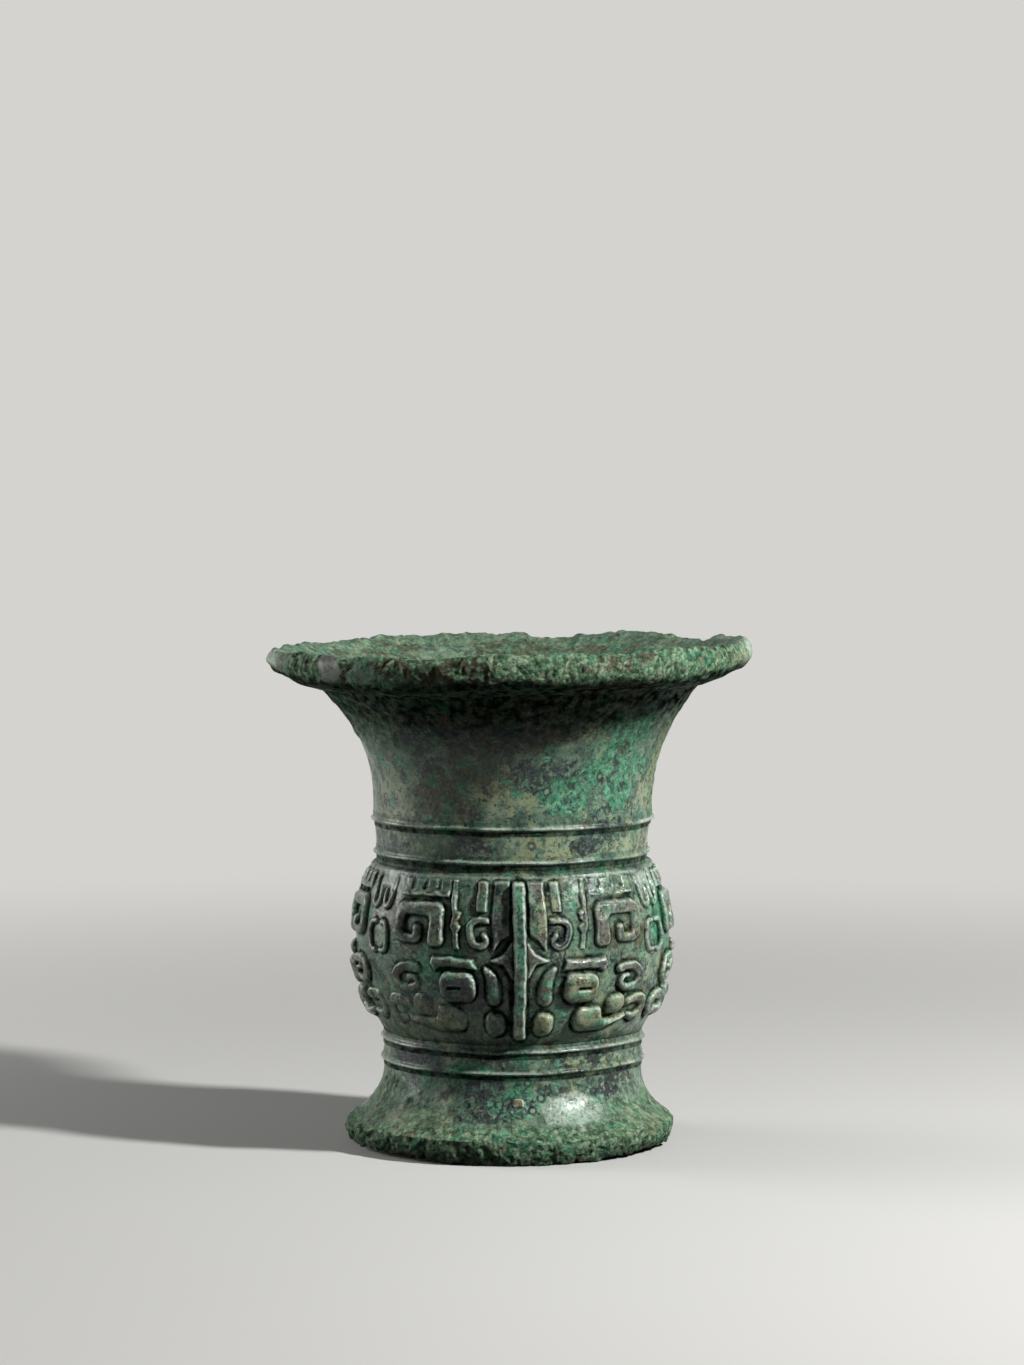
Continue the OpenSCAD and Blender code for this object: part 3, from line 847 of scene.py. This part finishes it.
class Shader:
    """Builds one material's nodes on the object's coordinates, in millimetres."""

    def __init__(self, name):
        self.material = bpy.data.materials.new(name)
        self.material.use_nodes = True
        self.tree = self.material.node_tree
        self.principled = self.tree.nodes["Principled BSDF"]
        metres = self.add("ShaderNodeTexCoord").outputs["Object"]
        scaled = self.add("ShaderNodeVectorMath", {0: metres, 1: (1 / MM,) * 3}, operation="MULTIPLY")
        self.place = scaled.outputs[0]

    def add(self, kind, inputs=None, **settings):
        """A node with its settings, and each input set to a value or linked to a socket."""
        node = self.tree.nodes.new(kind)
        for name, value in settings.items():
            setattr(node, name, value)
        for key, value in (inputs or {}).items():
            if isinstance(value, bpy.types.NodeSocket):
                self.tree.links.new(value, node.inputs[key])
            else:
                node.inputs[key].default_value = value
        return node

    def link(self, value, socket):
        self.tree.links.new(value, self.principled.inputs[socket])

    def field(self, name):
        return self.add("ShaderNodeAttribute", attribute_name=name).outputs["Fac"]

    def noise(self, size, seed, detail=4.0, roughness=0.55):
        moved = self.add("ShaderNodeVectorMath", {0: self.place, 1: (seed * 37.1, seed * 17.7, seed * 53.9)})
        inputs = {"Vector": moved.outputs[0], "Scale": 1 / size, "Detail": detail, "Roughness": roughness}
        return self.add("ShaderNodeTexNoise", inputs).outputs["Fac"]

    def cells(self, size):
        """How far each place is from its cell's middle, in cells, and the cell's own chance from 0 to 1."""
        node = self.add("ShaderNodeTexVoronoi", {"Vector": self.place, "Scale": 1 / size})
        chance = self.add("ShaderNodeSeparateColor", {0: node.outputs["Color"]}).outputs[0]
        return node.outputs["Distance"], chance

    def math(self, operation, a, b):
        return self.add("ShaderNodeMath", {0: a, 1: b}, operation=operation).outputs[0]

    def times(self, a, b):
        return self.math("MULTIPLY", a, b)

    def raised(self, value, share, lift):
        """The value plus a share of a lift."""
        return self.math("ADD", value, self.times(share, lift))

    def step(self, value, low, high, to_low=0.0, to_high=1.0):
        inputs = {"Value": value, "From Min": low, "From Max": high, "To Min": to_low, "To Max": to_high}
        return self.add("ShaderNodeMapRange", inputs, interpolation_type="SMOOTHSTEP").outputs["Result"]

    def ramp(self, value, stops):
        node = self.add("ShaderNodeValToRGB", {"Fac": value})
        elements = node.color_ramp.elements
        while len(elements) < len(stops):
            elements.new(1)
        for element, (position, colour) in zip(elements, stops):
            element.position = position
            element.color = colour
        return node.outputs["Color"]

    def mix(self, share, a, b):
        """Colour a, with a share of colour b."""
        return self.add("ShaderNodeMix", {0: share, 6: a, 7: b}, data_type="RGBA").outputs[2]


class Patina(Shader):
    """Old bronze: a clouded ground under green, blue-black and earthy corrosion with some patches of painted
    shade, crust, wear with painted sheen, and dirt with painted shade.
    """

    def __init__(self, name, tones, gloss, top_tones, top_share, cover):
        super().__init__(name)
        self.cover = cover
        self.crusted = self.field("crust")
        self.grime = self.field("grime")
        self.wear = self.field("wear")
        self.tint = self.noise(3.0, 3, detail=8, roughness=0.68)
        self.granule = self.noise(1.7, 9, detail=5, roughness=0.62)
        self.grain = self.noise(2.6, 7, detail=8, roughness=0.75)
        self.gap, self.grit = self.cells(2.3)
        colour = self.ringed(self.stained(tones, top_tones, top_share))
        colour = self.mix(self.crusted, colour, self.scab())
        self.link(self.used(colour), "Base Color")
        self.link(self.roughness(gloss), "Roughness")
        self.link(self.bumps(), "Normal")
        self.set_sheen()

    def layer(self, colour, size, seed, field, lift, level, share, paint):
        """Lays paint over the colour in ragged patches that are denser where a field is high."""
        cloud = self.noise(size, seed, detail=12, roughness=0.72)
        value = self.raised(cloud, self.field(field), lift)
        here = self.step(value, level - 0.012, level + 0.022, 0, share * self.cover)
        return self.mix(here, colour, paint), here

    def stained(self, tones, top_tones, top_share):
        """The colour of the ground and of the relief's tops, under the layers of corrosion, some of whose
        patches are painted shade.
        """
        cloud = self.noise(10, 1, detail=10, roughness=0.66)
        ground = self.ramp(self.raised(cloud, self.field("tan"), 0.05), tones)
        tops, earth, green, slate = (
            self.ramp(self.tint, shades) for shades in (top_tones, EARTH_TONES, GREEN_TONES, SLATE_TONES))
        covered, _ = self.layer(ground, 12, 14, "olive", 0.12, 0.49, top_share, tops)
        colour = self.mix(self.field("top"), ground, covered)
        colour, _ = self.layer(colour, 9, 2, "tan", 0.09, 0.57, 0.85, TAN)
        colour, self.earth_and_shade_here = self.layer(colour, 13, 5, "earth", 0.1, 0.57, 0.85, earth)
        colour, self.green_here = self.layer(colour, 15, 4, "green", 0.1, 0.57, 0.88, green)
        colour, _ = self.layer(colour, 11, 6, "slate", 0.1, 0.58, 0.9, slate)
        colour, _ = self.layer(colour, 3.4, 15, "green", 0.07, 0.61, 0.75, green)
        colour, self.speck_here = self.layer(colour, 2.6, 16, "slate", 0.05, 0.58, 0.8, DARK)
        colour = self.mix(self.step(self.granule, 0.46, 0.34, 0, 0.6), colour, DARK)
        return self.mix(self.step(self.granule, 0.56, 0.66, 0, 0.4), colour, PALE)

    def ringed(self, colour):
        """The colour with pale dots in dark rings, most of them where it is green."""
        reach, chance = self.cells(7)
        zone = self.step(self.raised(self.noise(22, 8), self.field("green"), 0.14), 0.53, 0.62)
        chosen = self.times(self.step(chance, 0.42, 0.5), zone)
        dot = self.times(self.step(reach, 0.24, 0.08), chosen)
        band = self.times(self.step(reach, 0.12, 0.24), self.step(reach, 0.42, 0.28))
        self.ring = self.times(band, chosen)
        colour = self.mix(self.times(dot, 0.4), colour, PALE)
        return self.mix(self.times(self.ring, 0.7), colour, DARK)

    def scab(self):
        """The colour of the crust, a mass of grains with tan, green and rusty patches and dark gaps."""
        colour = self.ramp(self.raised(self.times(self.grit, 0.2), self.grain, 0.8), CRUST_TONES)
        colour, _ = self.layer(colour, 6, 19, "tan", 0.1, 0.6, 0.7, TAN)
        colour, _ = self.layer(colour, 9, 17, "green", 0.06, 0.54, 0.7, self.ramp(self.grain, GREEN_TONES))
        colour, _ = self.layer(colour, 5, 18, "earth", 0.08, 0.57, 0.75, self.ramp(self.tint, RUST_TONES))
        colour = self.mix(self.step(self.granule, 0.42, 0.33, 0, 0.5), colour, DARK)
        return self.mix(self.step(self.gap, 0.55, 0.85, 0, 0.3), colour, DARK)

    def used(self, colour):
        """The colour with the mended patch, wear and painted sheen, and dirt and painted shade."""
        mended = self.times(self.field("mend"), self.step(self.granule, 0.38, 0.56, 0.2, 0.7))
        worn_and_sheen = self.times(self.wear, self.step(self.granule, 0.34, 0.58, 0.3, 0.9))
        self.dirt_and_shade = self.times(self.grime, self.step(self.noise(4, 10, detail=6), 0.3, 0.65, 1, 0.6))
        for share, paint in ((mended, MEND_TONE), (worn_and_sheen, WORN_AND_SHEEN), (self.dirt_and_shade, DARK)):
            colour = self.mix(share, colour, paint)
        return colour

    def roughness(self, gloss):
        """Glossy metal, rougher where it is corroded or crusted and under dirt and painted shade, and
        smoother under wear and painted sheen.
        """
        rough = self.step(self.noise(6, 11, detail=6), 0.35, 0.65, gloss, gloss + GLOSS_SPREAD)
        rough = self.raised(rough, self.math("ADD", self.green_here, self.earth_and_shade_here), 0.14)
        for share, lift in ((self.crusted, 0.36), (self.grime, 0.2), (self.wear, -0.2)):
            rough = self.raised(rough, share, lift)
        return self.math("MINIMUM", self.math("MAXIMUM", rough, SMOOTHEST), ROUGHEST)

    def bumps(self):
        """Fine grain all over, lumps in the crust, raised corrosion, and dents at the specks and rings."""
        lumps = self.raised(self.grain, self.gap, -0.4)
        height = self.raised(self.times(self.granule, 0.2), lumps, self.crusted)
        height = self.raised(height, self.math("ADD", self.green_here, self.earth_and_shade_here), 0.06)
        height = self.raised(height, self.math("ADD", self.speck_here, self.ring), -0.1)
        return self.add("ShaderNodeBump", {"Height": height, "Distance": BUMP_DEPTH * MM}).outputs["Normal"]

    def set_sheen(self):
        """Crust is duller than metal, and dirt and painted shade are matt."""
        matt = self.math("MAXIMUM", self.dirt_and_shade, self.times(self.crusted, 0.5))
        sheen = self.step(matt, 0.85, 0)
        self.link(self.times(sheen, SPECULAR), "Specular IOR Level")
        self.link(self.times(sheen, COAT), "Coat Weight")
        self.principled.inputs["Coat Roughness"].default_value = COAT_ROUGHNESS


MATERIALS = {slot: Patina(slot, *look).material for slot, look in BRONZES.items()}
for piece in bpy.data.objects:
    if piece.get("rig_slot"):
        piece.data.materials.append(MATERIALS[piece["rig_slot"]])


# Floor, light and camera

IMAGE_TALL_PX = 1365
FOCAL_PX = 4760
SENSOR = 36
CAMERA_AZIMUTH = -2.9
CAMERA_AWAY = 2380
CAMERA_HEIGHT = 394
CAMERA_PITCH = 3.913
CLIP_END_M = 50

# Lamps: azimuth, distance, height and width of each, and its power in watts
LAMPS = {
    "key": (60, 1500, 1110, 160, 42),
    "rim": (-108, 1600, 560, 1000, 15),
    "fill": (-25, 2400, 800, 1600, 0.9),
}
LAMP_AIM = 134
WORLD_TONE = (0.9, 0.95, 1, 1)
WORLD_STRENGTH = 0.03

# The backdrop's floor and its wall, and how far out its own pale tone takes over from the lit floor
FLOOR_HALF = 20000
WALL_AWAY = 3500
WALL_BEND = 1500
WALL_TOP = 9000
BEND_STEPS = 24
FLOOR_FADE = (280, 1300)
FLOOR_TONES = (srgb(214, 213, 209), srgb(220, 219, 216))
FLOOR_BOUNCE_TONE = srgb(52, 52, 52)
WALL_TONE = srgb(212, 211, 208)


def around(azimuth, away, height):
    """A place round the vessel, in metres."""
    a = math.radians(azimuth)
    return Vector((away * math.sin(a), -away * math.cos(a), height)) * MM


def add_camera():
    data = bpy.data.cameras.new("camera")
    data.sensor_width = SENSOR
    data.lens = SENSOR * FOCAL_PX / IMAGE_TALL_PX
    data.clip_end = CLIP_END_M
    camera = bpy.data.objects.new("camera", data)
    camera.location = around(CAMERA_AZIMUTH, CAMERA_AWAY, CAMERA_HEIGHT)
    camera.rotation_euler = (math.radians(90 - CAMERA_PITCH), 0, math.radians(CAMERA_AZIMUTH))
    bpy.context.scene.collection.objects.link(camera)
    bpy.context.scene.camera = camera


def add_lamp(name, azimuth, away, height, width, power):
    data = bpy.data.lights.new(name, "AREA")
    data.shape = "DISK"
    data.size = width * MM
    data.energy = power
    lamp = bpy.data.objects.new(name, data)
    lamp.location = around(azimuth, away, height)
    aim = Vector((0, 0, LAMP_AIM * MM)) - lamp.location
    lamp.rotation_euler = aim.to_track_quat("-Z", "Y").to_euler()
    bpy.context.scene.collection.objects.link(lamp)


def backdrop_material():
    """A pale floor that keeps the shadow near the vessel and is one plain tone further out."""
    s = Shader("pale_backdrop")
    s.principled.inputs["Roughness"].default_value = 0.8
    s.principled.inputs["Specular IOR Level"].default_value = 0.2
    ray = s.add("ShaderNodeLightPath").outputs
    mirrored = s.math("MAXIMUM", ray["Is Glossy Ray"], ray["Is Transmission Ray"])
    seen = s.math("MAXIMUM", ray["Is Camera Ray"], mirrored)
    s.link(s.mix(seen, FLOOR_BOUNCE_TONE, s.mix(s.noise(400, 1), *FLOOR_TONES)), "Base Color")
    away = s.add("ShaderNodeVectorMath", {0: s.place}, operation="LENGTH").outputs["Value"]
    share = s.times(s.step(away, *FLOOR_FADE), seen)
    plain = s.add("ShaderNodeEmission", {"Color": WALL_TONE}).outputs[0]
    shown = s.add("ShaderNodeMixShader", {0: share, 1: s.principled.outputs[0], 2: plain}).outputs[0]
    s.tree.links.new(shown, s.tree.nodes["Material Output"].inputs["Surface"])
    return s.material


def add_backdrop():
    """A pale floor that curves up into a wall behind the vessel."""
    turn = [math.pi / 2 * i / BEND_STEPS for i in range(BEND_STEPS + 1)]
    curve = [(WALL_AWAY + WALL_BEND * math.sin(t), WALL_BEND * (1 - math.cos(t))) for t in turn]
    path = [(-FLOOR_HALF, 0), *curve, (WALL_AWAY + WALL_BEND, WALL_TOP)]
    points = [(x * MM, y * MM, z * MM) for y, z in path for x in (-FLOOR_HALF, FLOOR_HALF)]
    faces = [(2 * i, 2 * i + 1, 2 * i + 3, 2 * i + 2) for i in range(len(path) - 1)]
    mesh = bpy.data.meshes.new("backdrop")
    mesh.from_pydata(points, [], faces)
    mesh.shade_smooth()
    mesh.materials.append(backdrop_material())
    backdrop = bpy.data.objects.new("backdrop", mesh)
    bpy.context.scene.collection.objects.link(backdrop)


def add_world():
    world = bpy.data.worlds.new("studio")
    world.use_nodes = True
    background = world.node_tree.nodes["Background"]
    background.inputs["Color"].default_value = WORLD_TONE
    background.inputs["Strength"].default_value = WORLD_STRENGTH
    bpy.context.scene.world = world


add_camera()
add_backdrop()
add_world()
for lamp, setting in LAMPS.items():
    add_lamp(lamp, *setting)
bpy.context.scene.view_settings.view_transform = "Standard"
